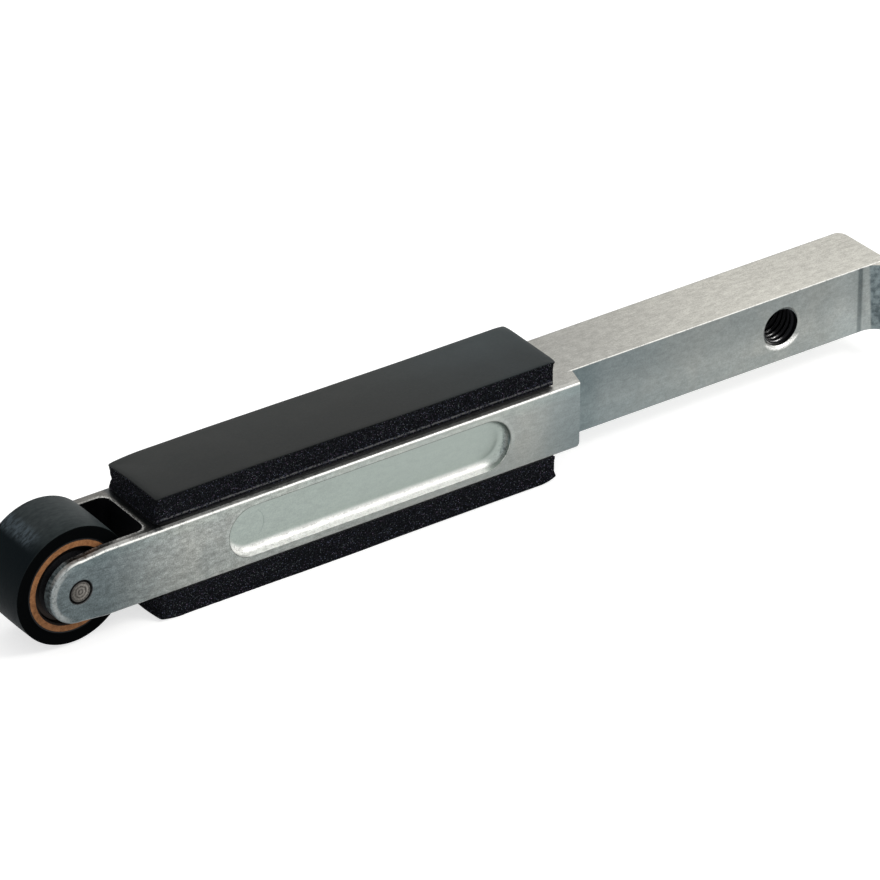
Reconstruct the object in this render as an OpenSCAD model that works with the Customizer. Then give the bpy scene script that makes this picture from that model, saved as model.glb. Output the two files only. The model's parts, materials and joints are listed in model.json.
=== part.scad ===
// Belt arm of a power file: a forked steel arm with a rubber contact wheel on two sealed ball bearings,
// a sponge pad above and below, and a shank that the machine holds by a cross-threaded hole.
// Millimetres. X runs along the arm to its foot, Y across it to the back, Z up.
// The origin is on the axis of the threaded hole, in the middle of the arm's width and height.

/* [Arm] */
// Distance from the wheel's axis to the axis of the threaded hole
reach = 165; // [150:1:180]
// Height of the bar that the arm is milled from
bar_h = 14.5; // [14:0.1:15.5]
// Thickness of each fork arm
fork_t = 2.25; // [1.8:0.05:2.8]
// Distance from the wheel's axis to the end wall of the fork slot
slot_depth = 16; // [14.5:0.25:18]
// Radius of the fork slot's inner corners
slot_corner_r = 2; // [1:0.25:3]
// Radius of the arm's nose about the wheel's axis
nose_r = 6.7; // [6.2:0.05:7]
// Distance from the wheel's axis to where the nose has widened to the bar's height
nose_l = 6; // [4:0.5:10]
// Rounding along the bar's long edges and round its nose
edge_r = 0.5; // [0.3:0.1:1]
// Distance from the wheel's axis to the shoulder where the wide body ends
body_l = 113.7; // [110:0.1:125]

/* [Shank] */
// Width of the shank, which is flush with the back of the bar
shank_w = 14; // [12:0.25:15]
// How far the shoulder leans back from the front face to the shank
shoulder_lean = 1.2; // [0:0.1:2]
// Radius of the lower corner where the body ends
shoulder_corner_r = 1.3; // [0.5:0.1:2]
// Distance from the threaded hole's axis to the start of the foot's curve
foot_start = 19.4; // [16:0.2:26]
// Radius of the first part of the foot's curve
foot_big_r = 4.8; // [3:0.1:6]
// Radius of the second part of the foot's curve
foot_small_r = 1.2; // [0.6:0.1:2]
// Thickness of the toe at the front face
toe_t = 2.4; // [1.8:0.1:4]
// How far the end face leans out from the back to the toe
end_lean = 1.6; // [0:0.1:2.4]
// Radius of the upright corner at the back of the end face
end_corner_r = 2.5; // [1:0.1:4]

/* [Threaded hole] */
// Outer diameter of the thread
thread_d = 8; // [6:0.5:10]
// Width of the chamfer at both mouths of the threaded hole
thread_chamfer = 0.45; // [0.2:0.05:0.8]

/* [Recess] */
// Distance from the wheel's axis to the middle of the recess
recess_mid = 65.4; // [60:0.2:70]
// Length of the recess in the front face
recess_l = 64.4; // [50:0.2:80]
// Width of the recess, and so the diameter of its round ends
recess_w = 11; // [8:0.1:12]
// Depth of the recess
recess_depth = 2.1; // [2:0.1:3]
// Radius between the wall and the floor of the recess
recess_floor_r = 1.8; // [0.4:0.1:1.9]

/* [Contact wheel] */
// Diameter over the rubber tyre
wheel_d = 25; // [23:0.25:27]
// Width of the wheel
wheel_w = 13; // [12.5:0.1:14]
// Gap between the wheel and each fork arm
wheel_side_gap = 0.5; // [0.4:0.05:1]
// Height of the tyre's crown
tyre_crown = 0.1; // [0.1:0.05:0.3]
// Rounding of the tyre's rims
tyre_rim_r = 0.3; // [0.3:0.1:1]
// Outer diameter of the hub ring under the tyre
hub_d = 19.7; // [19:0.1:20.5]
// Height of the shoulder between the two bearings, inside the hub
hub_shoulder_h = 1; // [0.6:0.1:1.4]

/* [Bearings] */
// Bore of each bearing, and the pin's size
bearing_bore_d = 5; // [4.8:0.05:5.2]
// Outer diameter of each bearing
bearing_d = 16; // [15.5:0.1:16.2]
// Width of each bearing
bearing_w = 5; // [4.8:0.05:5.2]
// Gap between the two bearings, which the shoulder and the inner spacer fill
bearing_gap = 1; // [0.6:0.1:1.4]
// Number of balls in each bearing
ball_count = 7; // [6:1:7]
// Diameter of the balls
ball_d = 3.175; // [2.9:0.005:3.2]
// Depth of the groove that the balls run in
race_depth = 0.4; // [0.2:0.05:0.5]
// Thickness of each seal
seal_t = 0.4; // [0.3:0.05:0.45]
// How far the seals lie inside the bearing's faces
seal_inset = 0.1; // [0.05:0.05:0.15]
// How far the seals reach into the outer ring
seal_seat = 0.35; // [0.2:0.05:0.5]
// Radial thickness of the ball cage
cage_t = 1.1; // [0.8:0.1:1.3]
// Thickness of the cage's ring behind the balls
cage_web = 0.15; // [0.1:0.05:0.25]
// How far the cage's fingers reach past the balls' middle
cage_finger = 0.8; // [0.5:0.1:1]
// Chamfer on the bearing rings and the pin
ring_chamfer = 0.3; // [0.1:0.05:0.4]

/* [Pin] */
// How far the pin's ends lie inside the fork's faces
pin_inset = 0.1; // [0:0.05:0.3]
// Width of the countersink at the pin's holes
pin_hole_chamfer = 0.1; // [0.1:0.05:0.5]
// How much lower the spacer and the side washers are than the inner rings
spacer_step = 0.2; // [0.1:0.05:0.5]

/* [Pads] */
// Distance from the end of the fork slot to the pads
pad_start = 1.8; // [1:0.1:5]
// Length of the pads
pad_l = 90.2; // [80:0.1:94]
// Width of the pads
pad_w = 16.7; // [14:0.1:17.4]
// How far the upper pad sits to the back of the arm's middle
upper_pad_shift = 0.6; // [-0.9:0.05:0.9]
// How far the lower pad sits to the front of the arm's middle
lower_pad_shift = 0.85; // [-0.9:0.05:0.9]
// Thickness of the adhesive layer
adhesive_t = 0.3; // [0.2:0.05:0.5]
// Thickness of the sponge layer
foam_t = 5.1; // [3:0.1:6]
// Thickness of the smooth facing
facing_t = 0.4; // [0.3:0.05:1]
// Radius of the facing's corners, seen from above
facing_corner_r = 1; // [0.4:0.1:3]
// How far the sponge's cut sides are drawn in at mid height
foam_waist = 0.45; // [0.2:0.05:0.8]

/* [Clearances] */
// Radial clearance where a ring is pressed or bonded on
press_clear = 0.01; // [0.01:0.005:0.02]
// Radial clearance between the pin and what it carries
slip_clear = 0.02; // [0.01:0.01:0.05]
// Clearance between the balls and what they run in
ball_clear = 0.06; // [0.03:0.01:0.1]
// Gap between a seal's lip and the inner ring, and between the cage and the balls
running_gap = 0.12; // [0.08:0.01:0.15]

/* [Hidden] */
$fn = 96;
over = 1;
crossing = 0.01;
nose_dip = 0.05;
slot_w = wheel_w + 2 * wheel_side_gap;
bar_w = slot_w + 2 * fork_t;
half_w = bar_w / 2;
half_h = bar_h / 2;
wheel_x = -reach;
nose_x = wheel_x - nose_r;
nose_tilt = atan2(half_h - nose_r + nose_dip, nose_l);
slot_end_x = wheel_x + slot_depth;
body_end_x = wheel_x + body_l;
shank_front_y = half_w - shank_w;
shoulder_angle = atan2(shoulder_lean, bar_w - shank_w);

foot_angle = 45;
foot_centre = [foot_start, shank_front_y - foot_big_r];
foot_unit = [cos(foot_angle), sin(foot_angle)];
foot_joint = foot_centre + foot_big_r * foot_unit;
foot_small_centre = foot_centre + (foot_big_r - foot_small_r) * foot_unit;
toe_inner_x = foot_small_centre[0] + foot_small_r;
end_front_x = toe_inner_x + toe_t;
end_back_x = end_front_x - end_lean;
end_angle = atan2(end_lean, bar_w);
end_out = [cos(end_angle), sin(end_angle)];
end_corner = [end_back_x - end_corner_r * (1 - sin(end_angle)) / cos(end_angle), half_w - end_corner_r];

thread_r = thread_d / 2;
bore_r = bearing_bore_d / 2;
pin_r = bore_r - slip_clear;
pin_hole_r = pin_r + press_clear;
wheel_r = wheel_d / 2;
hub_r = hub_d / 2;
bearing_r = bearing_d / 2;
hub_bore_r = bearing_r + press_clear;
bearing_y = (bearing_gap + bearing_w) / 2;
pitch_r = (bearing_r + bore_r) / 2;
ball_r = ball_d / 2;
groove_r = ball_r + ball_clear;
inner_land_r = pitch_r - groove_r + race_depth;
outer_land_r = pitch_r + groove_r - race_depth;
seal_r = outer_land_r + seal_seat;
seal_zone = seal_inset + seal_t;
spacer_r = inner_land_r - spacer_step;

pad_x = slot_end_x + pad_start;
pad_mid_x = pad_x + pad_l / 2;

// Stands what is drawn in the XY plane, or turned about Z, round an axis along Y
module along_y() {
    rotate([-90, 0, 0]) children();
}

module at_wheel() {
    translate([wheel_x, 0, 0]) children();
}

// A rectangle with round corners, centred on the origin
module round_rect(w, h, r) {
    square([w - 2 * r, h], center = true);
    square([w, h - 2 * r], center = true);
    for (sx = [-1, 1], sy = [-1, 1])
        translate([sx * (w / 2 - r), sy * (h / 2 - r)]) circle(r);
}

// The right half of such a rectangle, to be turned about its middle
module half_round_rect(w, h, r) {
    intersection() {
        round_rect(w, h, r);
        translate([0, -h]) square([w, 2 * h]);
    }
}

// A washer-like ring about the Y axis, from radius r0 to r1, centred on the origin
module ring(r0, r1, w) {
    along_y() rotate_extrude() translate([r0, -w / 2]) square([r1 - r0, w]);
}

// A cone-shaped mouth for a hole of radius r, c wide, that opens towards -Y at the origin
module mouth(r, c) {
    along_y() translate([0, 0, -over]) cylinder(h = over + c, r1 = r + c + over, r2 = r);
}

// A length of bar with rounded long edges, h high and w wide, from the given start to past the foot
module length_of_bar(start, h, w = bar_w) {
    translate([start, 0, 0]) rotate([90, 0, 90]) linear_extrude(height = end_front_x + over - wheel_x - start)
        round_rect(w, h, edge_r);
}

// A deep bar, a touch wider than the straight one, whose top slopes up from just under the nose's
// round: its faces cross the other faces instead of only touching them
module sloping_bar() {
    deep = 3 * bar_h;
    translate([0, 0, nose_r - nose_dip]) rotate([0, -nose_tilt, 0])
        translate([0, 0, -deep / 2]) length_of_bar(-bar_h, deep, bar_w + 2 * crossing);
}

// The bar: a round nose about the wheel's axis that widens to a straight length
module bar() {
    at_wheel() {
        along_y() rotate_extrude() half_round_rect(2 * nose_r, bar_w, edge_r);
        intersection() {
            length_of_bar(0, bar_h);
            sloping_bar();
            mirror([0, 0, 1]) sloping_bar();
        }
    }
}

// The fork slot, seen from above
module slot_plan() {
    translate([nose_x - over, -slot_w / 2])
        square([slot_end_x - slot_corner_r - nose_x + over, slot_w]);
    translate([nose_x - over, -slot_w / 2 + slot_corner_r])
        square([slot_end_x - nose_x + over, slot_w - 2 * slot_corner_r]);
    for (s = [-1, 1])
        translate([slot_end_x - slot_corner_r, s * (slot_w / 2 - slot_corner_r)]) circle(slot_corner_r);
}

// The seat milled beside the shank, from the leaning shoulder to the two-radius curve of the foot
module seat_plan() {
    polygon([[body_end_x, -half_w - over], [body_end_x, -half_w], [body_end_x + shoulder_lean, shank_front_y],
        [foot_start, shank_front_y], foot_joint, foot_small_centre + [foot_small_r, 0],
        [toe_inner_x, -half_w - over]]);
    intersection() {
        translate(foot_centre) circle(foot_big_r);
        polygon([foot_centre, foot_centre + [0, 2 * foot_big_r], foot_centre + 2 * foot_big_r * foot_unit]);
    }
    translate(foot_small_centre) circle(foot_small_r);
}

// The whole arm, seen from above
module arm_plan() {
    difference() {
        union() {
            polygon([[nose_x - over, -half_w - over], [end_front_x, -half_w - over], [end_front_x, -half_w],
                end_corner + end_corner_r * end_out, [end_corner[0], half_w], [end_corner[0], half_w + over],
                [nose_x - over, half_w + over]]);
            translate(end_corner) circle(end_corner_r);
        }
        slot_plan();
        seat_plan();
    }
}

// What rounds the lower corner of the shoulder, by an arc that just crosses the two faces it joins
module shoulder_corner_cut() {
    r = shoulder_corner_r;
    intersection() {
        translate([body_end_x, -half_w, -half_h]) rotate([90, 0, -shoulder_angle])
            linear_extrude(height = 2 * bar_w, center = true) difference() {
                polygon([[-r, 0], [0, r], [over, r + over], [over, -over], [-r - over, -over]]);
                translate([-r, r]) circle(r + crossing);
            }
        translate([body_end_x - bar_h, -half_w - over, -bar_h])
            cube([2 * bar_h, over + bar_w - shank_w, bar_h]);
    }
}

// A slot with round ends, cut by a cutter whose corner has a radius
module recess() {
    r = recess_w / 2;
    travel = recess_l / 2 - r;
    translate([wheel_x + recess_mid, -half_w, 0]) {
        for (s = [-1, 1])
            translate([s * travel, 0, 0]) along_y() rotate_extrude() intersection() {
                round_rect(recess_w, 2 * recess_depth, recess_floor_r);
                translate([0, -recess_depth]) square([r, 2 * recess_depth]);
            }
        translate([-travel, 0, 0]) rotate([90, 0, 90]) linear_extrude(height = 2 * travel)
            round_rect(2 * recess_depth, recess_w, recess_floor_r);
    }
}

module threaded_hole() {
    translate([0, shank_front_y - over, 0]) along_y() cylinder(r = thread_r, h = shank_w + 2 * over);
    translate([0, shank_front_y, 0]) mouth(thread_r, thread_chamfer);
    translate([0, half_w, 0]) mirror([0, 1, 0]) mouth(thread_r, thread_chamfer);
}

module pin_hole() {
    translate([0, -half_w - over, 0]) along_y() cylinder(r = pin_hole_r, h = bar_w + 2 * over);
    for (m = [0, 1])
        mirror([0, m, 0]) translate([0, -half_w, 0]) mouth(pin_hole_r, pin_hole_chamfer);
}

module arm() {
    color("silver") difference() {
        intersection() {
            bar();
            translate([0, 0, -bar_h]) linear_extrude(height = 2 * bar_h) arm_plan();
        }
        shoulder_corner_cut();
        recess();
        threaded_hole();
        at_wheel() pin_hole();
    }
}

module wheel_pin() {
    l = bar_w - 2 * pin_inset;
    color("dimgray") at_wheel() along_y() rotate_extrude()
        polygon([[0, -l / 2], [pin_r - ring_chamfer, -l / 2], [pin_r, ring_chamfer - l / 2],
            [pin_r, l / 2 - ring_chamfer], [pin_r - ring_chamfer, l / 2], [0, l / 2]]);
}

// The tyre's tread is a shallow arc between two rounded rims
module tyre() {
    crown_r = (wheel_w * wheel_w / 4 + tyre_crown * tyre_crown) / (2 * tyre_crown);
    color([0.09, 0.09, 0.1]) at_wheel() along_y() rotate_extrude() intersection() {
        half_round_rect(wheel_d, wheel_w, tyre_rim_r);
        translate([wheel_r - crown_r, 0]) circle(crown_r, $fn = 720);
        translate([hub_r + press_clear, -wheel_w / 2]) square([wheel_r, wheel_w]);
    }
}

module hub_ring() {
    color([0.72, 0.42, 0.25]) at_wheel() along_y() rotate_extrude() union() {
        polygon([[hub_bore_r, ring_chamfer - wheel_w / 2], [hub_bore_r + ring_chamfer, -wheel_w / 2],
            [hub_r, -wheel_w / 2], [hub_r, wheel_w / 2], [hub_bore_r + ring_chamfer, wheel_w / 2],
            [hub_bore_r, wheel_w / 2 - ring_chamfer]]);
        translate([hub_bore_r - hub_shoulder_h, -bearing_gap / 2])
            square([hub_shoulder_h + over / 2, bearing_gap]);
    }
}

// Puts a bearing's piece in the front bearing, side -1, or the rear one, side 1, its outer face to that side
module in_bearing(side) {
    at_wheel() translate([0, side * bearing_y, 0]) mirror([0, side < 0 ? 0 : 1, 0]) children();
}

// Outer ring, with its groove and a seat for a seal at each face
module outer_ring() {
    color("gainsboro") along_y() rotate_extrude() difference() {
        polygon([[outer_land_r, -bearing_w / 2], [bearing_r - ring_chamfer, -bearing_w / 2],
            [bearing_r, ring_chamfer - bearing_w / 2], [bearing_r, bearing_w / 2 - ring_chamfer],
            [bearing_r - ring_chamfer, bearing_w / 2], [outer_land_r, bearing_w / 2]]);
        translate([pitch_r, 0]) circle(groove_r);
        for (s = [-1, 1])
            translate([outer_land_r - over, s * (bearing_w / 2 + over) - (over + seal_zone) * (1 + s) / 2])
                square([over + seal_seat, over + seal_zone]);
    }
}

module inner_ring() {
    color("gainsboro") along_y() rotate_extrude() difference() {
        polygon([[bore_r, ring_chamfer - bearing_w / 2], [bore_r + ring_chamfer, -bearing_w / 2],
            [inner_land_r, -bearing_w / 2], [inner_land_r, bearing_w / 2],
            [bore_r + ring_chamfer, bearing_w / 2], [bore_r, bearing_w / 2 - ring_chamfer]]);
        translate([pitch_r, 0]) circle(groove_r);
    }
}

module on_pitch_circle() {
    for (i = [0 : ball_count - 1])
        rotate([0, i * 360 / ball_count, 0]) translate([pitch_r, 0, 0]) children();
}

module balls() {
    color("white") on_pitch_circle() sphere(ball_r);
}

// A crown cage: a ring behind the balls, with fingers between them, its pockets drilled from outside
module cage() {
    pocket_r = ball_r + running_gap;
    back = pocket_r + cage_web;
    color("tan") difference() {
        along_y() rotate_extrude() translate([pitch_r - cage_t / 2, -cage_finger])
            square([cage_t, back + cage_finger]);
        on_pitch_circle() rotate([0, 90, 0]) cylinder(r = pocket_r, h = 2 * cage_t, center = true);
    }
}

// A flat seal at the bearing's face, held in the outer ring, with a lip at the inner ring
module seal() {
    translate([0, -(bearing_w - seal_t) / 2 + seal_inset, 0])
        color([0.1, 0.1, 0.1]) ring(inner_land_r + running_gap, seal_r - press_clear, seal_t);
}

module front_outer_ring() { in_bearing(-1) outer_ring(); }
module front_inner_ring() { in_bearing(-1) inner_ring(); }
module front_balls() { in_bearing(-1) balls(); }
module front_cage() { in_bearing(-1) cage(); }
module front_face_seal() { in_bearing(-1) seal(); }
module front_inner_seal() { in_bearing(-1) mirror([0, 1, 0]) seal(); }
module rear_outer_ring() { in_bearing(1) outer_ring(); }
module rear_inner_ring() { in_bearing(1) inner_ring(); }
module rear_balls() { in_bearing(1) balls(); }
module rear_cage() { in_bearing(1) cage(); }
module rear_face_seal() { in_bearing(1) seal(); }
module rear_inner_seal() { in_bearing(1) mirror([0, 1, 0]) seal(); }

module bearing_spacer() {
    color("silver") at_wheel() ring(bore_r, spacer_r, bearing_gap);
}

// A washer that fills the room between a bearing's inner ring and a fork arm
module side_washer() {
    w = slot_w / 2 - bearing_gap / 2 - bearing_w;
    color("silver") at_wheel() translate([0, -(slot_w - w) / 2, 0]) ring(bore_r, spacer_r, w);
}

module front_side_washer() { side_washer(); }
module rear_side_washer() { mirror([0, 1, 0]) side_washer(); }

// A layer of a pad, from z0 up, its plan a rectangle with small round corners
module pad_layer(z0, t, r) {
    translate([pad_mid_x, 0, half_h + z0]) linear_extrude(height = t) round_rect(pad_l, pad_w, r);
}

module adhesive() {
    color([0.2, 0.2, 0.21]) pad_layer(0, adhesive_t, facing_corner_r);
}

// The sponge: its four cut sides are hollow, each cut by a large cylinder
module sponge() {
    waist_r = (foam_t * foam_t / 4 + foam_waist * foam_waist) / (2 * foam_waist);
    mid_z = half_h + adhesive_t + foam_t / 2;
    color([0.07, 0.07, 0.08]) difference() {
        pad_layer(adhesive_t, foam_t, facing_corner_r);
        for (s = [-1, 1]) {
            translate([pad_mid_x + s * (pad_l / 2 + waist_r - foam_waist), -pad_w, mid_z])
                along_y() cylinder(r = waist_r, h = 2 * pad_w);
            translate([pad_x - over, s * (pad_w / 2 + waist_r - foam_waist), mid_z]) rotate([0, 90, 0])
                cylinder(r = waist_r, h = pad_l + 2 * over);
        }
    }
}

module facing() {
    color([0.26, 0.27, 0.28]) pad_layer(adhesive_t + foam_t, facing_t, facing_corner_r);
}

module upper_place() { translate([0, upper_pad_shift, 0]) children(); }
module lower_place() { translate([0, -lower_pad_shift, 0]) mirror([0, 0, 1]) children(); }
module upper_adhesive() { upper_place() adhesive(); }
module upper_sponge() { upper_place() sponge(); }
module upper_facing() { upper_place() facing(); }
module lower_adhesive() { lower_place() adhesive(); }
module lower_sponge() { lower_place() sponge(); }
module lower_facing() { lower_place() facing(); }

arm();
wheel_pin();
tyre();
hub_ring();
front_outer_ring();
front_inner_ring();
front_balls();
front_cage();
front_face_seal();
front_inner_seal();
rear_outer_ring();
rear_inner_ring();
rear_balls();
rear_cage();
rear_face_seal();
rear_inner_seal();
bearing_spacer();
front_side_washer();
rear_side_washer();
upper_adhesive();
upper_sponge();
upper_facing();
lower_adhesive();
lower_sponge();
lower_facing();
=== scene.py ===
"""Looks of the belt arm of a power file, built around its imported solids. Metres, in the solids' own frame:
+X along the arm to its foot, +Y to its flush back, +Z up, the origin on the threaded hole's axis."""
import json
import math

import bpy
from mathutils import Matrix, Vector, noise


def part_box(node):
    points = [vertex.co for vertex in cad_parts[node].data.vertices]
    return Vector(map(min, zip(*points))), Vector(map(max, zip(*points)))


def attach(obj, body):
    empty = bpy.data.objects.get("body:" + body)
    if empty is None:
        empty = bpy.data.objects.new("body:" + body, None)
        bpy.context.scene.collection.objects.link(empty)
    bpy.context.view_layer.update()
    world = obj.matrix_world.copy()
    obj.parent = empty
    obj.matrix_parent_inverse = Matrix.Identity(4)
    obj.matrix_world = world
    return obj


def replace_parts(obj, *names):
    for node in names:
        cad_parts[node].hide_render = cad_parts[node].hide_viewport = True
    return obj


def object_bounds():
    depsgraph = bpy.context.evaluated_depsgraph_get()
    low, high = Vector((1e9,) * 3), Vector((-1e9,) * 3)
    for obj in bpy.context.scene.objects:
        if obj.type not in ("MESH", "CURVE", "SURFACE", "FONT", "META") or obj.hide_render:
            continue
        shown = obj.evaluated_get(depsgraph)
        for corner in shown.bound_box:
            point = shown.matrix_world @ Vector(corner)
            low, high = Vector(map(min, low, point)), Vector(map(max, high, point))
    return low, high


MM = 0.001
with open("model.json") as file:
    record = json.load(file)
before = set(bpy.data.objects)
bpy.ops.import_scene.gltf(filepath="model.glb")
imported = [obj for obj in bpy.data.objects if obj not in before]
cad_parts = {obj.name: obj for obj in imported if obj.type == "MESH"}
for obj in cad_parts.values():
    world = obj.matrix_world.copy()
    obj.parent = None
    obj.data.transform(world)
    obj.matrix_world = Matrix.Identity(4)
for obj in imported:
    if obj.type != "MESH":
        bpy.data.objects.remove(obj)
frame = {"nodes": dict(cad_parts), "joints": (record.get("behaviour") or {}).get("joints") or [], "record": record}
cad_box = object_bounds()
nodes = frame["nodes"]

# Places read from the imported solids
wheel_axis = Vector(next(j for j in frame["joints"] if j["name"] == "wheel_spin")["pos_m"])
hole_axis = Vector((0, 0, 0))
arm_low, arm_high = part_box("arm")
half_height = arm_high.z
front_y = arm_low.y
back_y = arm_high.y
mounts = {mount["name"]: mount for mount in frame["record"]["mounts"]}
thread_r = mounts["clamp_thread"]["dims"]["r_mm"] * MM
seat_y = mounts["shank_seat"]["pos_m"][1]

# Places of the arm's cuts, from its construction
SLOT_END_X = wheel_axis.x + 16 * MM
SLOT_HALF = back_y - 2.25 * MM
SLOT_CORNER_R = 2 * MM
RECESS_FLOOR_Y = front_y + 2.1 * MM
RECESS_X = wheel_axis.x + 65.4 * MM
RECESS_L = 64.4 * MM
RECESS_R = 5.5 * MM
RECESS_END_X = RECESS_X + RECESS_L / 2
SHOULDER_X = wheel_axis.x + 113.7 * MM
FOOT_START_X = 19.4 * MM

# The part of a noise's values over which a tone changes
MILD = (0.3, 0.7)
STRONG = (0.35, 0.65)


class Nodes:
    """A node tree, with short calls for the nodes that it uses."""

    def __init__(self, tree):
        self.tree = tree

    def put(self, target, value):
        """Gives a socket a value, or links an output to it."""
        if isinstance(value, bpy.types.NodeSocket):
            self.tree.links.new(value, target)
        else:
            target.default_value = value

    def add(self, kind, inputs=(), **settings):
        """A new node with these settings and inputs."""
        node = self.tree.nodes.new(kind)
        for key, value in settings.items():
            setattr(node, key, value)
        for key, value in dict(inputs).items():
            self.put(node.inputs[key], value)
        return node

    def math(self, operation, a, b=0.0, c=0.0, clamp=False):
        """The result of one operation on up to three values."""
        return self.add("ShaderNodeMath", {0: a, 1: b, 2: c}, operation=operation, use_clamp=clamp).outputs[0]

    def greatest(self, *factors):
        """The greatest of some factors."""
        found = factors[0]
        for factor in factors[1:]:
            found = self.math("MAXIMUM", found, factor)
        return found

    def shown_white(self):
        """1 for the rays that see the background: the camera's, and those that metal and glass send."""
        path = self.add("ShaderNodeLightPath")
        rays = ("Is Camera Ray", "Is Glossy Ray", "Is Transmission Ray")
        return self.greatest(*(path.outputs[ray] for ray in rays))


class Shader(Nodes):
    """One material with a surface shader, and calls for its patterns, masks and colours."""

    def __init__(self, name, **values):
        self.material = bpy.data.materials.new(name)
        self.material.use_nodes = True
        super().__init__(self.material.node_tree)
        self.surface = self.tree.nodes["Principled BSDF"]
        coordinates = self.add("ShaderNodeTexCoord")
        self.place = coordinates.outputs["Object"]
        self.normal = coordinates.outputs["Normal"]
        for socket, value in values.items():
            self.set(socket.replace("_", " "), value)

    def set(self, socket, value):
        """Gives a socket of the surface shader a value, or links an output to it."""
        self.put(self.surface.inputs[socket], value)

    def stretched(self, x, y, z):
        """The place scaled by x, y and z, for grain that runs one way."""
        return self.add("ShaderNodeMapping", {"Vector": self.place, "Scale": (x, y, z)}).outputs[0]

    def noise(self, size, detail=3.0, rough=0.5, where=None, distortion=0.0):
        """Noise whose features are about size metres across."""
        inputs = {"Vector": where or self.place, "Scale": 1 / size, "Detail": detail,
                  "Roughness": rough, "Distortion": distortion}
        return self.add("ShaderNodeTexNoise", inputs).outputs[0]

    def cells(self, size, output="Distance"):
        """Cells about size metres across: the distance to their middles, or a chance colour for each."""
        return self.add("ShaderNodeTexVoronoi", {"Vector": self.place, "Scale": 1 / size}).outputs[output]

    def axes(self, where=None):
        """The X, Y and Z of a place, a direction or a colour."""
        parts = self.add("ShaderNodeSeparateXYZ", {0: where or self.place})
        return [parts.outputs[name] for name in "XYZ"]

    def span(self, value, low, high, to_low=0.0, to_high=1.0):
        """A value from low to high, as one that goes smoothly from to_low to to_high, and no further."""
        inputs = {"Value": value, "From Min": low, "From Max": high, "To Min": to_low, "To Max": to_high}
        return self.add("ShaderNodeMapRange", inputs, interpolation_type="SMOOTHSTEP").outputs[0]

    def fade(self, value, low, high):
        """1 up to low, falling to 0 at high."""
        return self.span(value, low, high, 1, 0)

    def near(self, value, middle, reach):
        """1 where a value is at the middle, falling to 0 at a reach from it."""
        return self.fade(self.math("ABSOLUTE", self.math("SUBTRACT", value, middle)), 0.3 * reach, reach)

    def mask(self, *factors):
        """1 where all of some factors are 1: their product."""
        total = factors[0]
        for factor in factors[1:]:
            total = self.math("MULTIPLY", total, factor)
        return total

    def inverse(self, factor):
        """0 where a factor is 1, and 1 where it is 0."""
        return self.math("SUBTRACT", 1.0, factor)

    def blend(self, factor, a, b, kind="MIX"):
        """Colour a where the factor is 0 and colour b where it is 1."""
        node = self.add("ShaderNodeMix", {0: factor}, data_type="RGBA", blend_type=kind)
        for key, value in ((6, a), (7, b)):
            is_link = isinstance(value, bpy.types.NodeSocket)
            self.put(node.inputs[key], value if is_link else (*value, 1.0))
        return node.outputs[2]

    def tinted(self, factor, colour, by):
        """A colour, multiplied by another where the factor is 1."""
        return self.blend(factor, colour, by, "MULTIPLY")

    def past(self, value, limit):
        """How far a value is past a limit, and 0 before it."""
        return self.math("MAXIMUM", self.math("SUBTRACT", value, limit))

    def diagonal(self, a, b):
        """The length of a step of a one way and b across it."""
        return self.math("SQRT", self.math("ADD", self.math("POWER", a, 2.0), self.math("POWER", b, 2.0)))

    def from_axis(self, centre):
        """The distance from an axis along Y through a place."""
        moved = self.add("ShaderNodeMapping", {"Vector": self.place, "Location": tuple(-centre)}).outputs[0]
        flat = self.add("ShaderNodeVectorMath", {0: moved, 1: (1, 0, 1)}, operation="MULTIPLY").outputs[0]
        return self.add("ShaderNodeVectorMath", {0: flat}, operation="LENGTH").outputs["Value"]

    def bump(self, height, depth):
        """A normal that follows a height, of this depth in metres."""
        return self.add("ShaderNodeBump", {"Height": height, "Distance": depth}).outputs[0]


# Colours of the plated arm, by the place that shows them; a pair is what a pattern runs between
PLATE = {
    "blotches": ((0.300, 0.318, 0.304), (0.325, 0.335, 0.314)),
    # Painted shade and reflection: the nose's dark tone and the cool tone about the shoulder
    "nose": (0.115, 0.140, 0.146),
    "cool": (0.195, 0.232, 0.238),
    # Painted light and shade on the tops
    "shank top": ((0.236, 0.238, 0.225), (0.355, 0.352, 0.325)),
    "fork top": (0.112, 0.110, 0.104),
    # Painted dark reflections on the toe and the nose's side
    "toe": ((0.080, 0.101, 0.108), (0.172, 0.208, 0.216)),
    "nose side": ((0.040, 0.058, 0.063), (0.19, 0.235, 0.245)),
    # Painted light and shade in the recess: its paler floor, its glowing lower wall, its dark upper and end walls,
    # a bluish reflection streak, and a shadow line round it
    "recess floor": (0.330, 0.376, 0.350),
    "lit wall": (0.92, 0.92, 0.89),
    "upper wall": (0.13, 0.15, 0.14),
    "end wall": (0.045, 0.055, 0.06),
    "end streak": (0.40, 0.48, 0.54),
    "recess outline": (0.09, 0.10, 0.095),
    # Painted highlight on the edges
    "worn": (0.80, 0.80, 0.77),
    # Painted highlight on the hole's lower edge
    "hole_highlight": (0.85, 0.85, 0.82),
    "by the pad": (0.03, 0.035, 0.04),
    # Painted shade in the slot, the hole and round the pin
    "grime": (0.006, 0.006, 0.007),
}

# Stretches along the arm over which a tone, mostly painted light and shade, or a painted highlight comes or goes
NOSE_TONE_ENDS = (-162 * MM, -139 * MM)
NOSE_SIDE_ENDS = (-158 * MM, -154 * MM)
TIP_HIGHLIGHT_STARTS = (-171 * MM, -164 * MM)
FORK_TOP_ENDS = (-145 * MM, -140 * MM)
TOP_TONE_STARTS = (-140 * MM, -60 * MM)
SHANK_TOP_PALES = (-56 * MM, -2 * MM)
RECESS_STARTS = (-134 * MM, -133 * MM)
STRIP_HIGHLIGHT_ENDS = (-135 * MM, -112 * MM)
GRAIN_CALMS = (-130 * MM, -85 * MM)
PLUNGE_MARK_STARTS = (-124.5 * MM, -122.5 * MM)


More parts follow.
